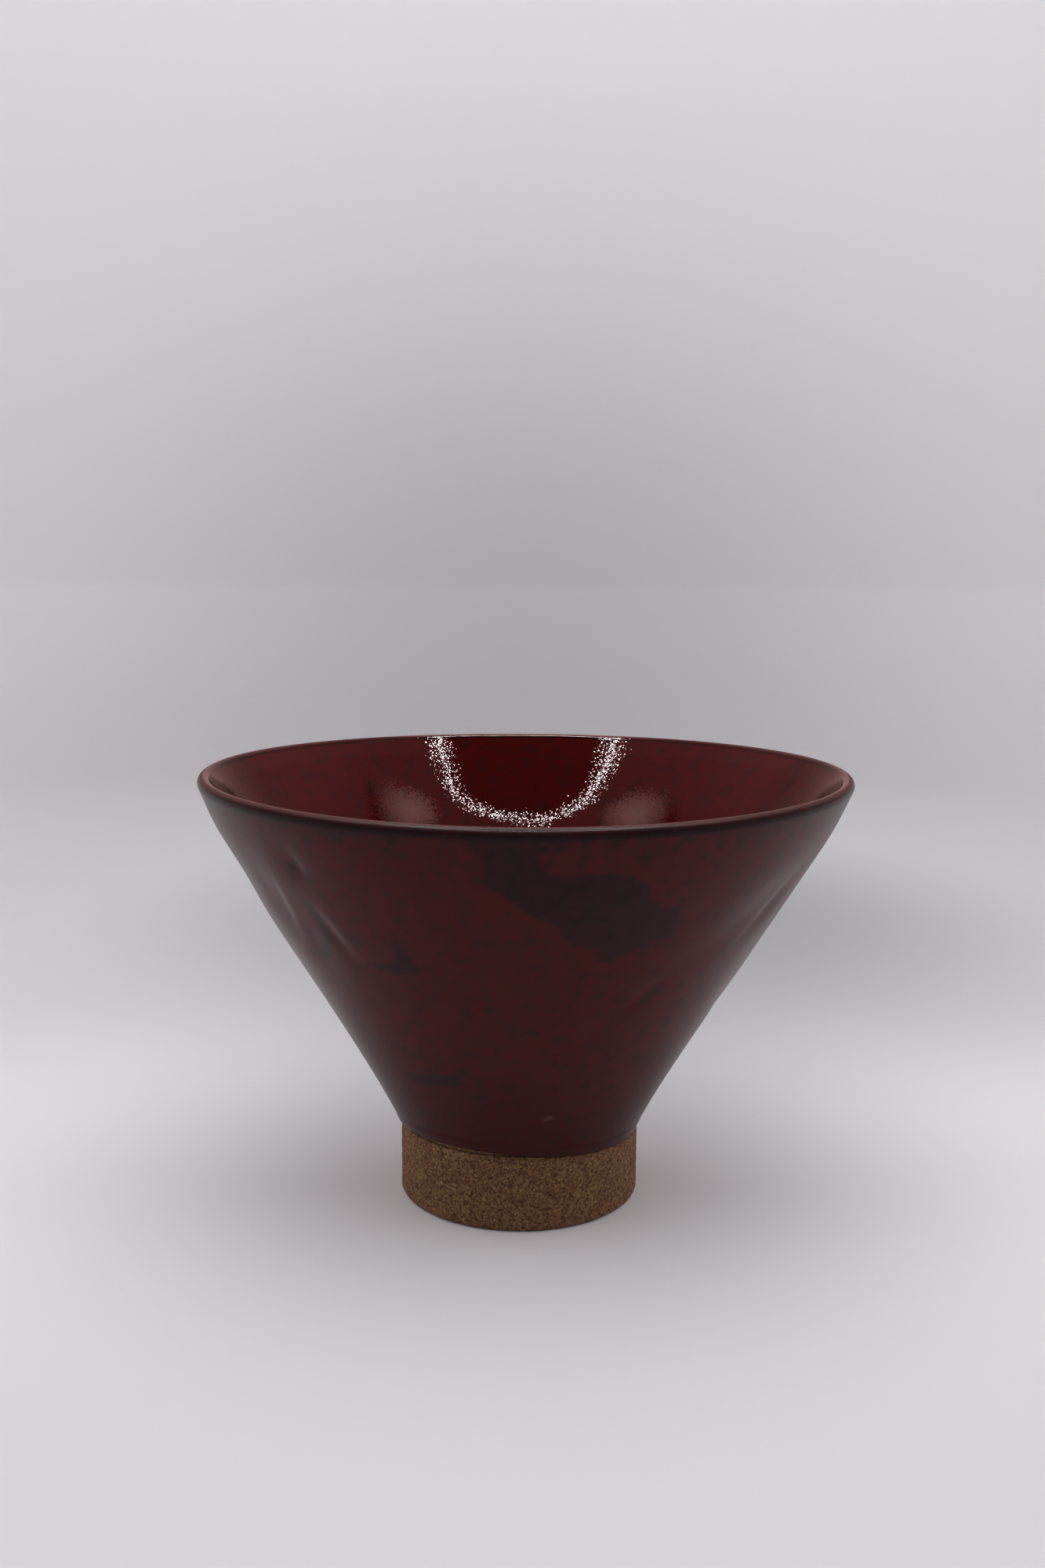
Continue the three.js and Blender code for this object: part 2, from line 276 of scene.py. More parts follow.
clay = grogged_stoneware()
foot_angle = angles(FOOT_TURNS)
smear = GLAZE_LINE + GLAZE_WAVE * np.cos(2 * (foot_angle - GLAZE_WAVE_ANGLE))
smear_limit = JOINT_SHOULDER / np.sin(CUP_LEAN) - SMEAR_SHORT_OF_SHOULDER
smear = np.minimum(smear - SMEAR_SHORT_OF_GLAZE, smear_limit)[..., None]
foot_section = foot_profile(0) + smear * (foot_profile(1) - foot_profile(0))
collar = skin_mesh("collar_foot", gritty(turned(foot_section, foot_angle), 11))
collar.data.materials.append(clay)
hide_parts("foot_ring")
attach(collar, "root")

# The luting slip: runny clay brushed on the scored joint, pressed out a little towards the
# hollow when the cup was set on the collar. It fires to a fine-grained dull brown.
SLIP_WIDTH = 3.4
SLIP_TURNS = 240
SLIP_POINTS = 40
SLIP_CLOUD = 2.0


def slip_profile():
    """The slip's section: a flat band in its seat, with a rounded bead at the hollow's side."""
    outer = foot_radius - JOINT_SHOULDER - PRESSED_EDGE - SKIN_GAP
    low = slip_seat + SKIN_GAP
    bead = (outer - SLIP_WIDTH + SLIP_THICKNESS, low + SLIP_THICKNESS / 2)
    return np.vstack([
        arc(bead, SLIP_THICKNESS / 2, 90, 270, 12),
        [(outer, low), (outer, low + SLIP_THICKNESS)],
    ])


def fired_slip():
    """Fired slip: the fine part of the same clay, dull brown with a soft cloudy tone."""
    material, tree, shader, place = new_material("fired_slip")
    cloud = node(tree, "TexNoise", {"Vector": place, "Scale": 1000 / SLIP_CLOUD, "Detail": 4.0})
    tone = node(tree, "Mix", {0: cloud.outputs[0], 6: linear(0x4E3929), 7: linear(0x7A5C45)},
                data_type="RGBA")
    tree.links.new(tone.outputs[2], shader.inputs["Base Color"])
    bump = node(tree, "Bump", {"Height": cloud.outputs[0], "Strength": 0.5, "Distance": 0.0001})
    tree.links.new(bump.outputs[0], shader.inputs["Normal"])
    shader.inputs["Roughness"].default_value = 0.95
    shader.inputs["Specular IOR Level"].default_value = 0.25
    return material


slip_section = evenly(slip_profile(), SLIP_POINTS, True)
slip = skin_mesh("slip_bead", turned(slip_section, angles(SLIP_TURNS)))
slip.data.materials.append(fired_slip())
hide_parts("luting_slip")
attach(slip, "root")

# The cup: a cone thrown in the same clay, its wall thinning to the lip, finger dents pressed in
# from outside while it was soft. Glaze hides it but for a sliver above the collar and the
# underside of its floor, which closes the foot's hollow.
LIP_THICKNESS = 1.7
LIP_TAPER = 27.5
WALL = 5.2
LEAN_AT_LIP = np.radians(25.6)
FOOT_REACH, LIP_REACH = 24.4, 33.1
FLOOR = 6.5
WELL_ROUND = 15.0
FLOOR_HOLLOW = 1.2
GLAZE = 0.5
RIM_OFFSET = 0.85
RIM_WAVE = 0.38
COAT_LAP = 4.0
CUP_TURNS = 360
WALL_STEPS = 1200

# Each dent: the angle and height of its middle, its width round the wall and length up it, its
# slant, and how deep it is pressed, or how far it swells where that is negative.
DENTS = (
    (-47, 70.3, 5.5, 9, 24, 0.9),
    (-56, 78.3, 4.5, 8, 8, 0.6),
    (-42, 89.3, 5, 4.5, 20, 0.4),
    (-88, 75.3, 34, 15, 0, -0.5),
    (-88, 100.3, 30, 7, 0, 0.4),
    (-88, 91.3, 30, 5, 0, -0.4),
    (-88, 79.3, 30, 6, 0, 0.7),
    (-88, 64.3, 30, 8, 0, -0.3),
    (51, 77.3, 6, 17, 60, 0.8),
    (88, 89.3, 30, 7.5, 0, -0.85),
    (88, 66.3, 26, 7, 0, 0.3),
    (67, 53.3, 7, 4, 30, 0.5),
    (27, 59.3, 12, 3.5, 20, 0.35),
)

# Sharp creases that the finger left at the edges of the dents: the angle and height of the
# middle, the widths to its left and its right, its length, slant and depth.
CREASES = (
    (-39.6, 73.0, 3.2, 2.0, 5.5, -28, 0.70),
    (-52.6, 77.0, 2.6, 1.8, 6.5, 12, 0.42),
    (-41.0, 88.8, 2.2, 1.5, 2.2, -30, 0.30),
    (-36.3, 57.8, 2.4, 1.8, 2.2, -50, 0.18),
    (55.6, 76.3, 2.0, 3.4, 8.0, 37, 0.50),
    (73.0, 49.0, 4.0, 4.0, 1.8, 0, 0.60),
    (27.6, 61.3, 1.6, 3.0, 6.0, 50, 0.32),
)

skin = SKIN_GAP + GLAZE
rim_radius = 1000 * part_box("outer_glaze")[1].y
height = 1000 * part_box("outer_glaze")[1].z - RIM_WAVE
lip_round = LIP_THICKNESS / 2
lip_centre = np.array([rim_radius - skin - lip_round, height - skin - lip_round])


def lean(angle):
    """The unit step up a wall that leans out by an angle."""
    return np.array([np.sin(angle), np.cos(angle)])


def across(step):
    """The unit step out of a wall, from the step up it."""
    return np.stack([step[..., 1], -step[..., 0]], -1)


wall_start = np.array([foot_radius - JOINT_SHOULDER, foot_height])
wall_end = lip_centre + lip_round * across(lean(LEAN_AT_LIP))
wall_handles = (wall_start + FOOT_REACH * lean(CUP_LEAN),
                wall_end - LIP_REACH * lean(LEAN_AT_LIP))


def wall_curve(share):
    """The outside of the clay wall: a cubic Bezier curve from the collar to the lip."""
    s = share[:, None]
    return ((1 - s) ** 3 * wall_start + 3 * (1 - s) ** 2 * s * wall_handles[0]
            + 3 * (1 - s) * s ** 2 * wall_handles[1] + s ** 3 * wall_end)


wall_points = wall_curve(np.linspace(0, 1, WALL_STEPS + 1))
wall_steps = np.linalg.norm(np.diff(wall_points, axis=0), axis=1)
wall_run = np.concatenate([[0], np.cumsum(wall_steps)])
wall_length = wall_run[-1]
wall_lean = np.gradient(wall_points, wall_run, axis=0)
lap_end = wall_length - COAT_LAP


def outside_at(distance, lift=0.0):
    """Radius and height of the outside of the clay at a distance up the wall, raised by lift. The
    curve goes on straight past both of its ends."""
    distance = np.asarray(distance, float)
    kept = np.clip(distance, 0, wall_length)
    point = np.stack([np.interp(kept, wall_run, wall_points[:, i]) for i in (0, 1)], -1)
    step = np.stack([np.interp(kept, wall_run, wall_lean[:, i]) for i in (0, 1)], -1)
    step = step / np.linalg.norm(step, axis=-1, keepdims=True)
    lifted = np.asarray(lift)[..., None] * across(step)
    return point + (distance - kept)[..., None] * step + lifted


def inside_at(distance, lift=0.0):
    """The same on the inside of the wall, which thins by a sine curve towards the lip."""
    distance = np.asarray(distance, float)
    taper = np.clip((wall_length - distance) / LIP_TAPER, 0, 1)
    thickness = LIP_THICKNESS + (WALL - LIP_THICKNESS) * np.sin(taper * np.pi / 2)
    return outside_at(distance, -thickness - lift)


def lip_arc(lift, count):
    """The crest of the lip, a half turn from the outside to the inside, without its ends."""
    first = -np.degrees(LEAN_AT_LIP)
    return arc(lip_centre, lip_round + lift, first, first + 180, count + 2)[1:-1]


def well_start():
    """The distance up the wall where its inside stands WELL_ROUND above the floor."""
    distance = np.linspace(0, wall_length, 2001)
    return np.interp(foot_height + FLOOR + WELL_ROUND, inside_at(distance)[:, 1], distance)


def well(lift, count):
    """The round bottom of the well, from the wall to the axis: a quadratic Bezier curve raised
    off the clay by lift."""
    start = inside_at(well_start())
    down = start - inside_at(well_start() + 1)
    floor = foot_height + FLOOR
    corner = start + down * (floor - start[1]) / down[1]
    s = np.linspace(0, 1, count)[:, None]
    points = (1 - s) ** 2 * start + 2 * s * (1 - s) * corner + s ** 2 * np.array([0, floor])
    steps = 2 * (1 - s) * (corner - start) + 2 * s * (np.array([0, floor]) - corner)
    points = points + lift * across(steps / np.linalg.norm(steps, axis=1, keepdims=True))
    points[-1, 0] = 0
    return points[1:]


def hand_thrown(profile, angle):
    """Throwing's own unevenness. A point goes in by its dents and creases, each a bell curve
    across and along its slant, and the whole rim stands off the foot's axis and rises at both
    sides, all of it growing with the height above the foot. A dent is alike on both sides."""
    radius, up = profile[..., 0], profile[..., 1]
    rise = np.clip((up - foot_height) / (height - foot_height), 0, 1)
    pressed = 0
    dents = [(*dent[:3], *dent[2:]) for dent in DENTS]
    for middle, level, left, right, length, slant, depth in (*dents, *CREASES):
        turn = (angle - np.radians(middle) + np.pi) % (2 * np.pi) - np.pi
        around, above, slant = radius * turn, up - level, np.radians(slant)
        wide = around * np.cos(slant) - above * np.sin(slant)
        wide = wide / np.where(wide < 0, left, right)
        long = (around * np.sin(slant) + above * np.cos(slant)) / length
        pressed = pressed + depth * np.exp(-wide ** 2 - long ** 2)
    uneven = np.where(radius == 0, 0, radius - pressed * rise)
    wave = RIM_WAVE * np.cos(2 * (angle - np.pi / 2)) * rise ** 2 * radius / rim_radius
    return np.stack([uneven * np.sin(angle) + RIM_OFFSET * rise,
                     -uneven * np.cos(angle), up + wave], -1)


def cup_profile():
    """The clay's section from the middle of its underside: out under the floor, up the outside,
    over the lip, down the inside and in to the middle of the well."""
    edge = foot_radius - FOOT_WALL
    share = np.linspace(0, 1, 18)[:, None]
    under = (np.array([0, foot_height + FLOOR_HOLLOW]) * (1 - share ** 2)
             + np.array([0, foot_height]) * share ** 2 + share * np.array([edge, 0]))
    return np.vstack([
        under,
        outside_at(np.linspace(0, wall_length, 90)),
        lip_arc(0, 8),
        inside_at(np.linspace(wall_length, well_start(), 50)),
        well(0, 20),
    ])


cup = skin_mesh("clay_cup", hand_thrown(cup_profile()[None], angles(CUP_TURNS)), poles=True)
cup.data.materials.append(clay)
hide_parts("bowl_body")
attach(cup, "root")

# The lining: iron red glaze poured in and swirled round, a glossy coat about half a millimetre
# thick with the fine ripple of orange peel. Its upper edge melted under the outer coat.
LINING_TURNS = 560
LINING_POINTS = 96
LINING_BACK_POINTS = 20
FEATHER = 1.5
LINING_UNDERLAP = 1.0
FEATHER_DEPTH = 0.05
# Patterns in the glaze: clouds of richer red, iron specks, and the facets of its surface.
RED_CLOUD, IRON_SPECK, FACET = 16.0, 3.2, 0.25
FACET_TILT = 0.14
DEEP_RED, THICK_RED = 0x360909, 0x440D0E


def red_glass(tree, place, deep, thick):
    """Deep red glass full of fine iron crystals, richer in clouds of a centimetre or two and
    duller low on the cup, which is painted shade, with dark specks of 1 to 2 mm where iron
    bled from the clay. Gives its colour and the mottling of the specks."""
    cloud = node(tree, "TexNoise", {"Vector": place, "Scale": 1000 / RED_CLOUD, "Detail": 4.0,
                                    "Roughness": 0.6})
    axis = node(tree, "SeparateXYZ", {"Vector": place})
    # Painted shade: the red dulls towards the bottom of the cup, mixed in with the richer clouds.
    above = node(tree, "MapRange", {"Value": axis.outputs["Z"], "From Min": 0.018,
                                    "From Max": 0.05, "To Min": 0.2, "To Max": 1.0})
    full = node(tree, "Math", {0: cloud.outputs[0], 1: 1.3, 2: above.outputs[0]},
                operation="MULTIPLY_ADD")
    richness_and_shade = node(tree, "MapRange", {"Value": full.outputs[0], "From Min": 0.85,
                                       "From Max": 1.95})
    red = node(tree, "Mix", {0: richness_and_shade.outputs[0], 6: deep, 7: thick}, data_type="RGBA")
    mottle = node(tree, "TexNoise", {"Vector": place, "Scale": 1000 / IRON_SPECK,
                                     "Detail": 3.0, "Roughness": 0.5})
    specks = node(tree, "MapRange", {"Value": mottle.outputs[0], "From Min": 0.5,
                                     "From Max": 0.75, "To Min": 0.0, "To Max": 0.75})
    speckled = node(tree, "Mix", {0: specks.outputs[0], 6: red.outputs[2],
                                  7: linear(0x241414)}, data_type="RGBA")
    return speckled.outputs[2], mottle.outputs[0]


def orange_peel(tree, place, depth):
    """The fine orange peel of a glossy glaze, as the normal that it turns: facets of a quarter
    millimetre, each tilted at random, and more towards the rim. depth scales the tilt."""
    height = node(tree, "SeparateXYZ", {"Vector": place}).outputs["Z"]
    near_rim = node(tree, "MapRange", {"Value": height, "From Min": 0.078,
                                       "From Max": 0.098, "To Min": 0.7, "To Max": 1.0})
    tilt = node(tree, "Math", {0: near_rim.outputs[0], 1: depth}, operation="MULTIPLY")
    facets = node(tree, "TexVoronoi", {"Vector": place, "Scale": 1000 / FACET})
    lean_to = node(tree, "VectorMath", {0: facets.outputs["Color"], 1: (0.5, 0.5, 0.5)},
                   operation="SUBTRACT")
    size = node(tree, "VectorMath", {0: lean_to.outputs[0]}, operation="ABSOLUTE")
    squared = node(tree, "VectorMath", {0: size.outputs[0], 1: lean_to.outputs[0]},
                   operation="MULTIPLY")
    scaled = node(tree, "VectorMath", {0: squared.outputs[0], "Scale": tilt.outputs[0]},
                  operation="SCALE")
    smooth = tree.nodes.new("ShaderNodeNewGeometry").outputs["Normal"]
    tilted = node(tree, "VectorMath", {0: scaled.outputs[0], 1: [FACET_TILT] * 3, 2: smooth},
                  operation="MULTIPLY_ADD")
    return node(tree, "VectorMath", {0: tilted.outputs[0]}, operation="NORMALIZE").outputs[0]


def poured_iron_red():
    """Iron red stoneware glaze as it lies inside: thick, deep red and glossy all over, with a
    fine orange peel that breaks a lamp's mirror image into sparks."""
    material, tree, shader, place = new_material("iron_red_lining")
    colour, _ = red_glass(tree, place, linear(DEEP_RED), linear(THICK_RED))
    tree.links.new(colour, shader.inputs["Base Color"])
    tree.links.new(orange_peel(tree, place, 1.0), shader.inputs["Normal"])
    shader.inputs["Roughness"].default_value = 0.03
    shader.inputs["Specular IOR Level"].default_value = 0.08
    return material


def lining_profile():
    """The lining's section: from under the middle of the well up against the clay, round its
    feathered top edge, and down its open face to the middle."""
    top = lap_end + LINING_UNDERLAP
    face = np.linspace(top, well_start(), LINING_POINTS)
    feathered = np.clip((face - lap_end + FEATHER) / (FEATHER + LINING_UNDERLAP), 0, 1)
    sunk = FEATHER_DEPTH * feathered ** 2
    return np.vstack([
        well(SKIN_GAP, 14)[::-1],
        inside_at(np.linspace(well_start(), top, LINING_BACK_POINTS), SKIN_GAP),
        inside_at(face, skin - sunk),
        well(skin, 30),
    ])


lining_places = hand_thrown(lining_profile()[None], angles(LINING_TURNS))
lining = skin_mesh("glaze_lining", lining_places, poles=True)
lining.data.materials.append(poured_iron_red())
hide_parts("lining_glaze")
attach(lining, "root")

# The outer coat: the same iron red glaze, dipped, so it wraps the lip and ends above the collar
# in a wavy rolled line where the foot was wiped clean. It has a satin gloss outside.
ROLL_THICKNESS = 0.6
ROLL_LENGTH = 3.2
# The roll's front rounds up from EDGE_SHARE of its thickness over FRONT_SHARE of its length.
FRONT_SHARE, EDGE_SHARE = 0.18, 0.12
LAP_FEATHER_START = 0.5
COAT_TURNS = 640
ROLL_POINTS = 16
COAT_POINTS = 80
LIP_POINTS = 16
# The pattern that makes the thin patches ragged, and the width over which they thin out.
RAGGED, PATCH_BLUR = 4.5, 1.5
# The inner face is fully glossy from GLOSS_START past the lip's crest. The round of the lip
# is glossiest at ROUND_PLACE past the crest, and that fades out over ROUND_REACH each way.
GLOSS_START = 0.6
ROUND_PLACE, ROUND_REACH = 1.1, 0.9
# The glaze thins towards the lip over LIP_THINNING, to LIP_THINNESS on its crest. Past the crest
# a distance counts INNER_SCALE times, so the crest's lighter band, thin glaze and painted
# highlight, is a little narrower there.
LIP_THINNING, LIP_THINNESS, INNER_SCALE = 11.0, 0.75, 1.2

# Where the glaze lies thin and has broken to dark brown: how thin it is at the edge of each
# patch, and the patch's outline as angles and heights.
THIN_PATCHES = (
    (0.35, (-6.0, 100.3), (-6.3, 89), (-2.9, 86.1), (1.0, 82.2), (6.1, 79.4), (7.7, 75.7),
     (13.1, 73.7), (14.6, 70.4), (16.9, 71.2), (21.7, 72.6), (26.9, 75.5), (29.5, 75.5),
     (27.4, 78.2), (28.9, 82.5), (23.7, 83.2), (21.5, 85.2), (20.3, 89), (16.1, 90.7),
     (11.2, 91.5), (7.7, 91.1), (3.6, 91.2), (2.3, 94.1), (2.7, 100.3)),
    (0.35, (-32.5, 66.8), (-31.5, 68.1), (-28.4, 69.0), (-26.3, 69.6), (-24.2, 72.6),
     (-22.6, 73), (-21.8, 70), (-20.8, 66.8), (-26, 65.8), (-29.5, 66.2)),
    (0.35, (-42.8, 38), (-31.1, 39.7), (-19.9, 40.3), (-15.3, 37.7), (-21.5, 36.9),
     (-34.1, 35.7)),
    (0.2, (-42.7, 78.2), (-41.2, 77), (-40.8, 73.3), (-40.6, 70.8), (-44, 66.6), (-50.5, 64.7),
     (-50.2, 67.1), (-45.1, 70.4), (-44.4, 74.3)),
    (0.0, (-43.8, 89.7), (-41.3, 90.2), (-40.3, 89.2), (-40.8, 87.4), (-42.7, 86.3),
     (-43.7, 87.5)),
    (-0.1, (-36.8, 58.6), (-33.9, 58.5), (-33, 56.7), (-35.5, 55.1), (-37.2, 56.3)),
    (0.0, (61.9, 80.5), (59.3, 77.9), (57.7, 74.6), (56.4, 72), (57.7, 71.5), (59.7, 74),
     (62, 77.5), (63.7, 80.3)),
    (0.0, (27.5, 60.9), (31.8, 64), (33, 61), (29, 58), (25.6, 57.6)),
)

# Pale flecks where a grain of sand melted into the glaze: angle, height, size and strength.
FLECKS = ((10.9, 29.5, 1.5, 0.36), (9.3, 29.1, 1.2, 0.3))
# How far out a fleck's middle lies, as a share of the wall's radius at its height.
FLECK_REACH = 1.001


def inside_outline(around, up, outline):
    """How far a place lies inside a closed outline, in millimetres, and outside it where that is
    negative: the distance to the nearest side, with the sign from counting crossings."""
    nearest = np.full(around.shape, np.inf)
    within = np.zeros(around.shape, bool)
    for (x0, y0), (x1, y1) in zip(outline, np.roll(outline, -1, 0)):
        dx, dy = x1 - x0, y1 - y0
        share = ((around - x0) * dx + (up - y0) * dy) / (dx ** 2 + dy ** 2)
        share = np.clip(share, 0, 1)
        nearest = np.minimum(nearest, np.hypot(around - x0 - share * dx, up - y0 - share * dy))
        if dy:
            crosses = ((y0 > up) != (y1 > up)) & (around < x0 + dx * (up - y0) / dy)
            within ^= crosses
    return np.where(within, nearest, -nearest)


def line_slide(distance, angle):
    """How far the wavy glaze line takes the coat up or down the wall: a wave that rises and
    falls twice round the collar, and fades out up the wall by an ease curve."""
    share = np.clip((distance - ROLL_LENGTH) / (3 * ROLL_LENGTH), 0, 1)
    fade = 1 - share * share * (3 - 2 * share)
    return GLAZE_WAVE * np.cos(2 * (angle - GLAZE_WAVE_ANGLE)) * fade


def outer_coat(angle):
    """The outer coat's section at each angle: its rolled edge, the face up the wall, the lip, a
    feathered lap inside, and the back along the clay."""
    share = np.linspace(0, 1, ROLL_POINTS)
    swell = np.sqrt(np.abs(np.sin(share * np.pi)))
    thickness = GLAZE + (ROLL_THICKNESS - GLAZE) * swell
    rounded = np.sqrt(1 - (1 - np.clip(share / FRONT_SHARE, 0, 1)) ** 2)
    roll_lift = SKIN_GAP + thickness * (EDGE_SHARE + (1 - EDGE_SHARE) * rounded)
    roll = GLAZE_LINE + share * ROLL_LENGTH
    face = np.linspace(GLAZE_LINE + ROLL_LENGTH, wall_length, COAT_POINTS)[1:]
    back = np.linspace(wall_length, GLAZE_LINE, 22)
    lap = np.linspace(wall_length, lap_end - FEATHER, 12)
    feathered = (lap_end + LAP_FEATHER_START - lap) / (FEATHER + LAP_FEATHER_START)
    lap_sunk = FEATHER_DEPTH * np.clip(feathered, 0, 1) ** 2

    def slid(distance, lift):
        return outside_at(distance[None] + line_slide(distance[None], angle),
                          np.broadcast_to(lift, distance.shape)[None])

    def alike(points):
        return np.broadcast_to(points[None], (len(angle), *points.shape))

    return np.concatenate([
        slid(roll, roll_lift),
        slid(face, skin),
        alike(lip_arc(skin, LIP_POINTS)),
        alike(inside_at(lap, skin - lap_sunk)),
        alike(inside_at(lap[::-4], SKIN_GAP)),
        alike(lip_arc(SKIN_GAP, 5)[::-1]),
        slid(back, SKIN_GAP),
    ], 1)


def dipped_iron_red():
    """The same glaze outside, where it is satin. It breaks to dark brown where it runs thin, in
    ragged patches and towards the lip, and a band just below the lip is darker still. The
    lip's crest is a lighter warm brown, partly for the thin glaze there and partly as a painted
    highlight of the light from above, and its round is glossiest at the back, where the glaze
    pooled. Attributes give where it lies thin, how far the crest is, and the side: 0 on the
    outer face, 1 on the glossy inner face and 2 in the round of the lip between them."""
    material, tree, shader, place = new_material("iron_red_glaze")
    side = node(tree, "Attribute", {}, attribute_name="side").outputs["Fac"]
    deep = node(tree, "Mix", {0: side, 6: linear(0x3A0E0F), 7: linear(DEEP_RED)},
                data_type="RGBA")
    thick = node(tree, "Mix", {0: side, 6: linear(0x481111), 7: linear(THICK_RED)},
                 data_type="RGBA")
    speckled, mottle = red_glass(tree, place, deep.outputs[2], thick.outputs[2])
    thin = node(tree, "Attribute", {}, attribute_name="thinness")
    ragged = node(tree, "TexNoise", {"Vector": place, "Scale": 1000 / RAGGED, "Detail": 6.0,
                                     "Roughness": 0.7})
    uneven = node(tree, "Math", {0: ragged.outputs[0], 1: 2.6, 2: thin.outputs["Fac"]},
                  operation="MULTIPLY_ADD")
    broken = node(tree, "MapRange", {"Value": uneven.outputs[0], "From Min": 1.35,
                                     "From Max": 2.1}, interpolation_type="SMOOTHSTEP")
    patchy = node(tree, "Mix", {0: mottle, 6: linear(0x381716), 7: linear(0x1C1110)},
                  data_type="RGBA")
    glaze = node(tree, "Mix", {0: broken.outputs[0], 6: speckled, 7: patchy.outputs[2]},
                 data_type="RGBA")
    edge = node(tree, "Attribute", {}, attribute_name="lip")
    # A darker band just below the lip, on the outside.
    under = node(tree, "MapRange", {"Value": edge.outputs["Fac"], "From Min": 3.3,
                                    "From Max": 2.3, "To Min": 0.0, "To Max": 0.75},
                 interpolation_type="SMOOTHSTEP")
    rimmed = node(tree, "Mix", {0: under.outputs[0], 6: glaze.outputs[2],
                                7: linear(0x160A0A)}, data_type="RGBA")
    # The crest's lighter brown is partly thin glaze and partly a painted highlight of the light
    # from above.
    crest = node(tree, "MapRange", {"Value": edge.outputs["Fac"], "From Min": 0.9,
                                    "From Max": 0.2, "To Min": 0.0, "To Max": 0.8},
                 interpolation_type="SMOOTHSTEP")
    crest_thin_and_lit = node(tree, "Mix", {0: crest.outputs[0], 6: rimmed.outputs[2],
                              7: linear(0x3C2724)}, data_type="RGBA")
    marked = crest_thin_and_lit.outputs[2]
    for turn, level, size, share in FLECKS:
        reach = FLECK_REACH * np.interp(level, wall_points[:, 1], wall_points[:, 0])
        spot = np.array([reach * np.sin(np.radians(turn)), -reach * np.cos(np.radians(turn)),
                         level]) / 1000
        away = node(tree, "VectorMath", {0: place, 1: spot}, operation="DISTANCE")
        fleck = node(tree, "MapRange", {"Value": away.outputs["Value"], "From Min": 0.0,
                                        "From Max": size / 1000, "To Min": share,
                                        "To Max": 0.0}, interpolation_type="SMOOTHSTEP")
        marked = node(tree, "Mix", {0: fleck.outputs[0], 6: marked, 7: linear(0x86605E)},
                      data_type="RGBA").outputs[2]
    tree.links.new(marked, shader.inputs["Base Color"])
    gloss = node(tree, "MapRange", {"Value": side, "To Min": 0.285, "To Max": 0.03})
    rubbed = node(tree, "Math", {0: crest.outputs[0], 1: 0.2, 2: gloss.outputs[0]},
                  operation="MULTIPLY_ADD")
    tree.links.new(rubbed.outputs[0], shader.inputs["Roughness"])
    towards_back = node(tree, "SeparateXYZ", {"Vector": place}).outputs["Y"]
    pooled = node(tree, "MapRange", {"Value": towards_back, "From Min": 0.063, "From Max": 0.07,
                                     "To Min": 0.06, "To Max": 1.0})
    rounding = node(tree, "MapRange", {"Value": side, "From Min": 1.0, "From Max": 2.0,
                                       "To Min": 0.0, "To Max": pooled.outputs[0]})
    tree.links.new(rounding.outputs[0], shader.inputs["Coat Weight"])
    peel = node(tree, "MapRange", {"Value": side, "To Min": 0.3, "To Max": 1.0})
    tree.links.new(orange_peel(tree, place, peel.outputs[0]), shader.inputs["Normal"])
    shader.inputs["Specular IOR Level"].default_value = 0.1
    shader.inputs["Coat Roughness"].default_value = 0.03
    return material


coat_angle = angles(COAT_TURNS)
coat_profile = outer_coat(coat_angle)
coat_places = hand_thrown(coat_profile, coat_angle)
outer_points = ROLL_POINTS + COAT_POINTS - 1
up = coat_profile[..., 1]
turn = (coat_angle + np.pi) % (2 * np.pi) - np.pi + np.zeros(up.shape)
thinness = np.full(up.shape, -1.0)
for edge_thinness, *outline in THIN_PATCHES:
    middle_height = np.mean([level for _, level in outline])
    at_height = np.interp(middle_height, wall_points[:, 1], wall_points[:, 0])
    flat = [(np.radians(a) * at_height, level) for a, level in outline]
    within = inside_outline(turn * at_height, up, flat)
    thinness = np.maximum(thinness, within / PATCH_BLUR + edge_thinness)
crest_point = outer_points + LIP_POINTS // 2
path = np.linalg.norm(np.diff(coat_profile, axis=1), axis=2)
path = np.concatenate([np.zeros((COAT_TURNS, 1)), np.cumsum(path, 1)], 1)
from_crest = path[:, crest_point, None] - path
past_crest = np.clip(-from_crest, 0, None)
rounding = np.clip(1 - np.abs(past_crest - ROUND_PLACE) / ROUND_REACH, 0, 1)
lip_band = LIP_THINNESS - from_crest / LIP_THINNING
thinness = np.maximum(thinness, np.where(from_crest < 0, -1, lip_band))
coat = skin_mesh("glaze_coat", coat_places, attributes={
    "thinness": np.clip(thinness, -1.5, 1.5),
    "side": np.clip(past_crest / GLOSS_START, 0, 1) + rounding,
    "lip": np.where(from_crest < 0, -INNER_SCALE * from_crest, from_crest),
})
coat.data.materials.append(dipped_iron_red())
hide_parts("outer_glaze")
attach(coat, "root")

# The stage: a pale paper floor that sweeps up into the cloth wall of a light tent, which glows
# softly all round, so that the bowl mirrors a plain grey studio from every side.
SWEEP_RADIUS = 700.0
SWEEP_ROUND = 250.0
TENT_HEIGHT = 1300.0


def sweep_profile():
    """The stage's section: flat floor, a quarter round, and an upright wall."""
    return np.vstack([
        np.stack([np.linspace(0, SWEEP_RADIUS, 40), np.zeros(40)], -1),
        arc((SWEEP_RADIUS, SWEEP_ROUND), SWEEP_ROUND, 270, 360, 24)[1:],
        np.stack([np.full(12, SWEEP_RADIUS + SWEEP_ROUND),
                  np.linspace(SWEEP_ROUND, TENT_HEIGHT, 13)[1:]], -1),
    ])


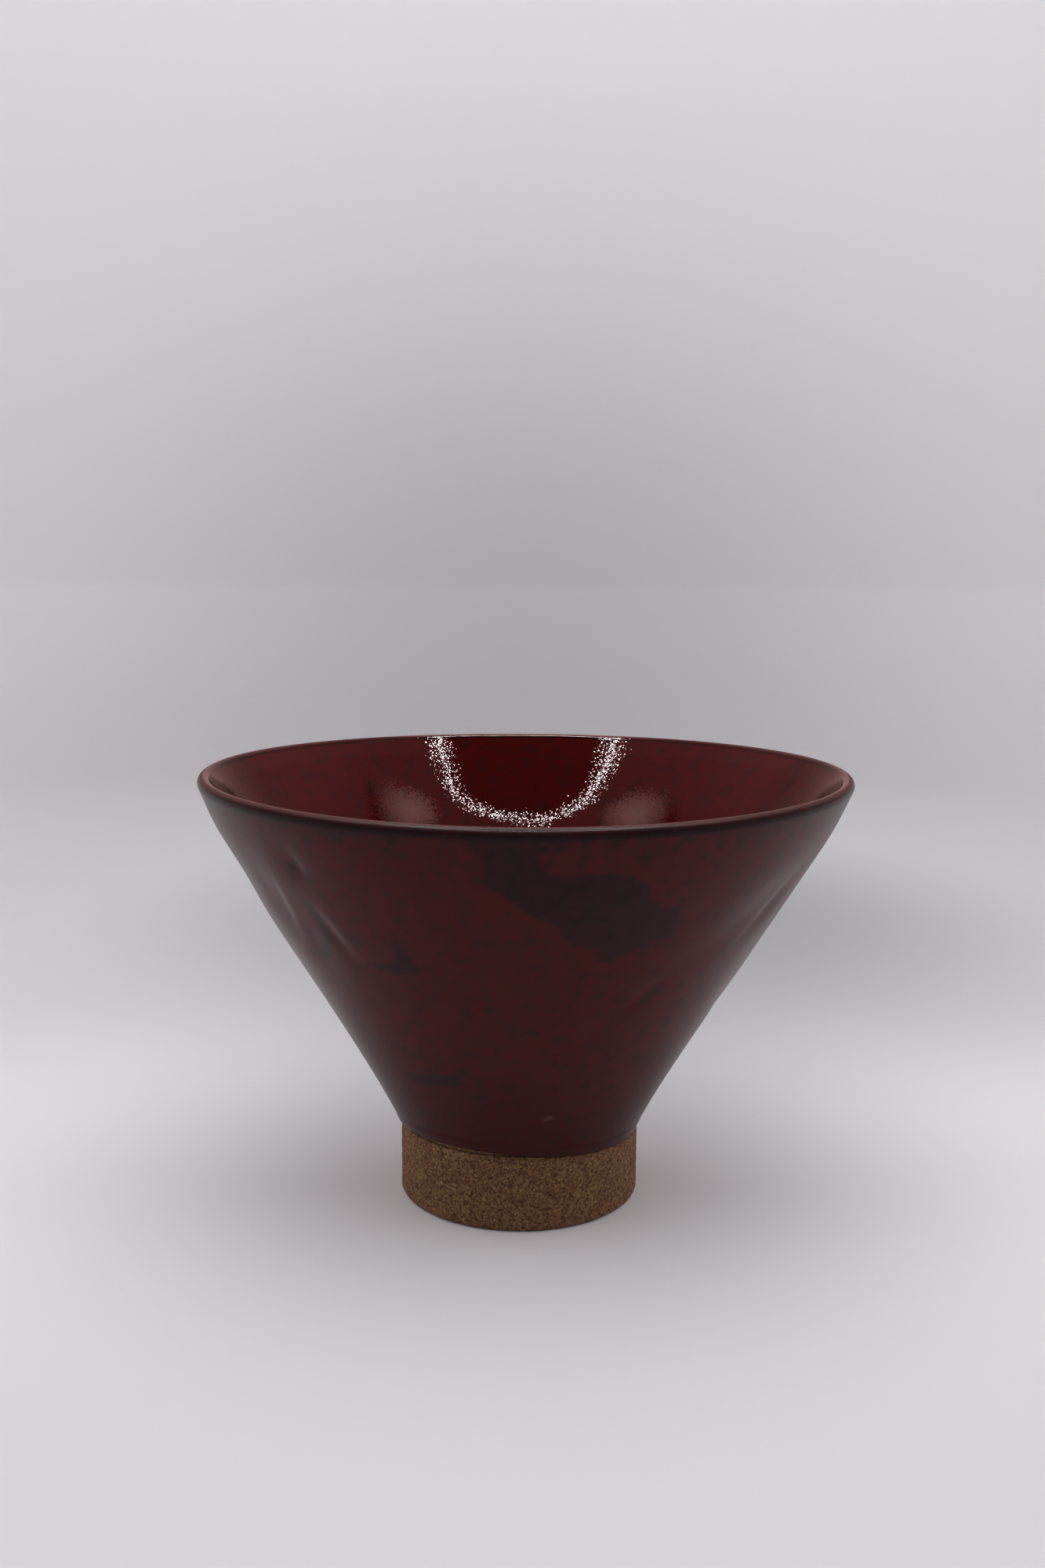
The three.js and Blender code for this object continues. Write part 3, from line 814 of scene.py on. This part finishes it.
def tent_cloth():
    """Matt white paper and cloth: an off-white floor with painted shade, greyer in front of the
    bowl and behind it, and two soft painted shadows, on the wall behind the bowl and on the floor
    behind it; above it the glow of daylight through the cloth, dimmer in the middle. The cloth
    over the camera and the top of the tent are grey and unlit."""
    material, tree, shader, place = new_material("tent_cloth")
    axis = node(tree, "SeparateXYZ", {"Vector": place})
    # Painted shade on the floor: greyer behind the bowl and in front of it towards the camera,
    # and two soft painted shadows.
    # Painted shade: the paper greys behind the bowl, as the light falls off there.
    behind = node(tree, "MapRange", {"Value": axis.outputs["Y"], "From Min": 0.02,
                                     "From Max": 0.16, "To Min": 0.0, "To Max": 1.0},
                  interpolation_type="SMOOTHSTEP")
    paper = node(tree, "Mix", {0: behind.outputs[0], 6: linear(0xF4F2F4), 7: linear(0xE2E0E2)},
                 data_type="RGBA")
    # Painted shade on the floor in front of the bowl.
    front_shade = node(tree, "MapRange", {"Value": axis.outputs["Y"], "From Min": -0.03,
                                   "From Max": -0.13}, interpolation_type="SMOOTHSTEP")
    tone = node(tree, "Mix", {0: front_shade.outputs[0], 6: paper.outputs[2], 7: linear(0xE6E4E6)},
                data_type="RGBA")
    # Two soft painted shadows: one on the wall behind the bowl and one on the floor just behind
    # it.
    for middle, inner, outer, share in (((0.0, 0.95, 0.1), 0.0, 0.5, 0.7),
                                        ((0.03, 0.26, 0.0), 0.05, 0.24, 0.9)):
        away = node(tree, "VectorMath", {0: place, 1: middle}, operation="DISTANCE")
        shade = node(tree, "MapRange", {"Value": away.outputs["Value"], "From Min": inner,
                                        "From Max": outer, "To Min": share, "To Max": 0.0},
                     interpolation_type="SMOOTHSTEP")
        tone = node(tree, "Mix", {0: shade.outputs[0], 6: tone.outputs[2],
                                  7: linear(0xB2B0B2)}, data_type="RGBA")
    # The cloth that the camera never sees directly: the tent's top and its front.
    top = node(tree, "MapRange", {"Value": axis.outputs["Z"], "From Min": 0.60,
                                  "From Max": 0.75}, interpolation_type="SMOOTHSTEP")
    front = node(tree, "MapRange", {"Value": axis.outputs["Y"], "From Min": -0.35,
                                    "From Max": -0.65}, interpolation_type="SMOOTHSTEP")
    hidden = node(tree, "Math", {0: top.outputs[0], 1: front.outputs[0]}, operation="MAXIMUM")
    shaded = node(tree, "Mix", {0: hidden.outputs[0], 6: tone.outputs[2],
                                7: linear(0xA0A0A2)}, data_type="RGBA")
    tree.links.new(shaded.outputs[2], shader.inputs["Base Color"])
    # Daylight through the cloth: it grows with height, and is strongest at the lamps' sides.
    low = node(tree, "MapRange", {"Value": axis.outputs["Z"], "From Min": 0.0,
                                  "From Max": 0.08, "To Min": 0.0, "To Max": 0.06})
    high = node(tree, "MapRange", {"Value": axis.outputs["Z"], "From Min": 0.08,
                                   "From Max": 0.6, "To Min": 0.0, "To Max": 0.2})
    side = node(tree, "Math", {0: axis.outputs["X"]}, operation="ABSOLUTE")
    lamps = node(tree, "MapRange", {"Value": side.outputs[0], "From Min": 0.5,
                                    "From Max": 0.85, "To Min": 1.0, "To Max": 9.0},
                 interpolation_type="SMOOTHSTEP")
    both = node(tree, "Math", {0: low.outputs[0], 1: high.outputs[0]}, operation="ADD")
    bright = node(tree, "Math", {0: both.outputs[0], 1: lamps.outputs[0]}, operation="MULTIPLY")
    clear = node(tree, "Math", {0: 1.0, 1: hidden.outputs[0]}, operation="SUBTRACT")
    glow = node(tree, "Math", {0: bright.outputs[0], 1: clear.outputs[0]},
                operation="MULTIPLY")
    shader.inputs["Emission Color"].default_value = (1.0, 0.985, 1.0, 1.0)
    tree.links.new(glow.outputs[0], shader.inputs["Emission Strength"])
    shader.inputs["Roughness"].default_value = 1.0
    shader.inputs["Specular IOR Level"].default_value = 0.0
    return material


def open_mesh(name, places):
    """An open skin over a grid of places that closes round the axis."""
    turns, points = places.shape[:2]
    number = np.arange(turns * points).reshape(turns, points)
    beside = np.roll(number, -1, 0)
    squares = np.stack([number[:, :-1], beside[:, :-1], beside[:, 1:], number[:, 1:]], -1)
    return add_mesh(name, places, squares.reshape(-1, 4).tolist())


tent = open_mesh("light_tent", turned(sweep_profile(), angles(128)))
tent.data.materials.append(tent_cloth())

# The light: a ring lamp hung level over the bowl, which the lining mirrors as a broken U of
# sparks and the back of the lip as a thin line, with a dark plate in its middle. Two dim panels,
# a warm ceiling and a warm curtain round the tent are mirrored beside it, and light nothing. The
# broad cloth above gives most of the light. Paths and outlines are x and y, seen from above, and
# each panel is named for the side of the lining that mirrors it.
LAMP_HEIGHT = 420.0
RING_PATH = ((115, -20), (121, -33), (128, -48), (135, -71), (135, -98), (123, -133), (95, -166),
             (58, -189), (18, -201), (-25, -204), (-66, -192), (-93, -170), (-118, -134),
             (-128, -95), (-128, -67), (-122, -45), (-119, -20), (-108, 20), (-75, 50), (-40, 60),
             (0, 62), (40, 60), (75, 50), (106, 20))
RING_WIDTH = 5.0
RING_STRENGTH = 240.0
# Each panel's name, the middle of its light, and its outline.
PANELS = (
    ("left_panel", (265, -55), ((268, 85), (233, 25), (206, -27), (200, -60), (230, -130),
                                (330, -120), (390, 70))),
    ("right_panel", (-262, -55), ((-215, -165), (-186, -91), (-191, -56), (-217, -3), (-259, 49),
                                  (-308, 75), (-380, 85), (-390, -60), (-310, -160))),
)
PANEL_FADE = (20, 125, 0.0)
PANEL_STRENGTH = 12.0
CLOTH_HEIGHT = 520.0
CLOTH_RADIUS = 250.0
CLOTH_FORWARD = 110.0
CLOTH_STRENGTH = 2.3
CEILING_RADIUS = 900.0
CEILING_FADE = (450, 900, 0.42)
CEILING_STRENGTH = 0.75
CURTAIN_RADIUS = 900.0
CURTAIN_BOTTOM = 130.0
CURTAIN_STRENGTH = 0.48
RING_POINTS = 90
PLATE_GAP, CEILING_GAP = 2.0, 5.0
SKY_STRENGTH = 0.53


def glowing(name, strength, colour=(1.0, 1.0, 1.0, 1.0), reach=None, middle=(0, 0)):
    """A lamp's diffuser: light of one strength and colour. Reach, where it is given, holds two
    distances from the upright line through middle, between which the light fades, and the share
    that is left."""
    material, tree, light, place = new_material(name, "Emission")
    light.inputs["Color"].default_value = colour
    light.inputs["Strength"].default_value = strength
    if reach:
        level = node(tree, "VectorMath", {0: place, 1: (1.0, 1.0, 0.0)}, operation="MULTIPLY")
        away = node(tree, "VectorMath", {0: level.outputs[0],
                                         1: (middle[0] / 1000, middle[1] / 1000, 0.0)},
                    operation="DISTANCE")
        fade = node(tree, "MapRange", {"Value": away.outputs["Value"],
                                       "From Min": reach[0] / 1000, "From Max": reach[1] / 1000,
                                       "To Min": strength, "To Max": strength * reach[2]})
        tree.links.new(fade.outputs[0], light.inputs["Strength"])
    return material


def hung(name, outline, level, material):
    """A flat plate with the given outline, hung level at a height."""
    places = np.array([(x, y, level) for x, y in outline])
    plate = add_mesh(name, places, [list(range(len(outline)))])
    plate.data.materials.append(material)
    return plate


def ring_edge(side):
    """The ring's path moved sideways by a distance, closed on itself at equal steps."""
    path = evenly(np.array(RING_PATH, float), RING_POINTS, True)
    step = np.roll(path, -1, 0) - np.roll(path, 1, 0)
    path = path + side * across(step / np.linalg.norm(step, axis=1, keepdims=True))
    return np.vstack([path, path[:1]])


def disc(radius):
    """The outline of a round plate."""
    turn = angles(64)[:, 0]
    return np.stack([radius * np.cos(turn), radius * np.sin(turn)], -1)


ring = [*ring_edge(-RING_WIDTH / 2), *ring_edge(RING_WIDTH / 2)[::-1]]
curtain = open_mesh("warm_curtain", turned(
    np.array([(CURTAIN_RADIUS, CURTAIN_BOTTOM), (CURTAIN_RADIUS, CLOTH_HEIGHT)]), angles(64)))
curtain.data.materials.append(
    glowing("curtain_glow", CURTAIN_STRENGTH, (1.3, 0.7, 0.68, 1.0)))
mirrored = [
    curtain,
    hung("ring_lamp", ring, LAMP_HEIGHT,
         glowing("ring_diffuser", RING_STRENGTH, (1.0, 0.93, 0.92, 1.0))),
    hung("dark_plate", ring_edge(0)[:-1], LAMP_HEIGHT + PLATE_GAP, glowing("dark", 0.02)),
    hung("warm_ceiling", disc(CEILING_RADIUS), CLOTH_HEIGHT + CEILING_GAP,
         glowing("ceiling_glow", CEILING_STRENGTH, (2.6, 1.0, 1.03, 1.0), CEILING_FADE)),
    *(hung(name, outline, LAMP_HEIGHT,
           glowing("panel_diffuser", PANEL_STRENGTH, (1.0, 0.55, 0.5, 1.0), PANEL_FADE, middle))
      for name, middle, outline in PANELS),
]
for plate in mirrored:
    plate.visible_diffuse = False
    plate.visible_camera = False
top_cloth = hung("top_cloth", disc(CLOTH_RADIUS) - [0, CLOTH_FORWARD], CLOTH_HEIGHT,
                 glowing("cloth_glow", CLOTH_STRENGTH))
top_cloth.visible_glossy = False

world = bpy.data.worlds.new("tent_top")
world.use_nodes = True
sky = world.node_tree.nodes["Background"]
sky.inputs["Color"].default_value = (1.0, 0.985, 1.0, 1.0)
sky.inputs["Strength"].default_value = SKY_STRENGTH
bpy.context.scene.world = world
bpy.context.scene.view_settings.view_transform = "Standard"

# The camera stands in front, a little above the rim, and looks down on the bowl as in the
# photograph.
CAMERA_PLACE = (0.267, -353.3, 151.3)
CAMERA_DIP = 8.647
CAMERA_ROLL = 0.363
CAMERA_LENS = 35.22

camera = bpy.data.objects.new("camera", bpy.data.cameras.new("camera"))
camera.data.lens = CAMERA_LENS
camera.data.sensor_width = 36.0
aim = (Matrix.Rotation(np.radians(90 - CAMERA_DIP), 4, "X")
       @ Matrix.Rotation(np.radians(CAMERA_ROLL), 4, "Z"))
camera.matrix_world = Matrix.Translation(np.array(CAMERA_PLACE) / 1000) @ aim
bpy.context.scene.collection.objects.link(camera)
bpy.context.scene.camera = camera
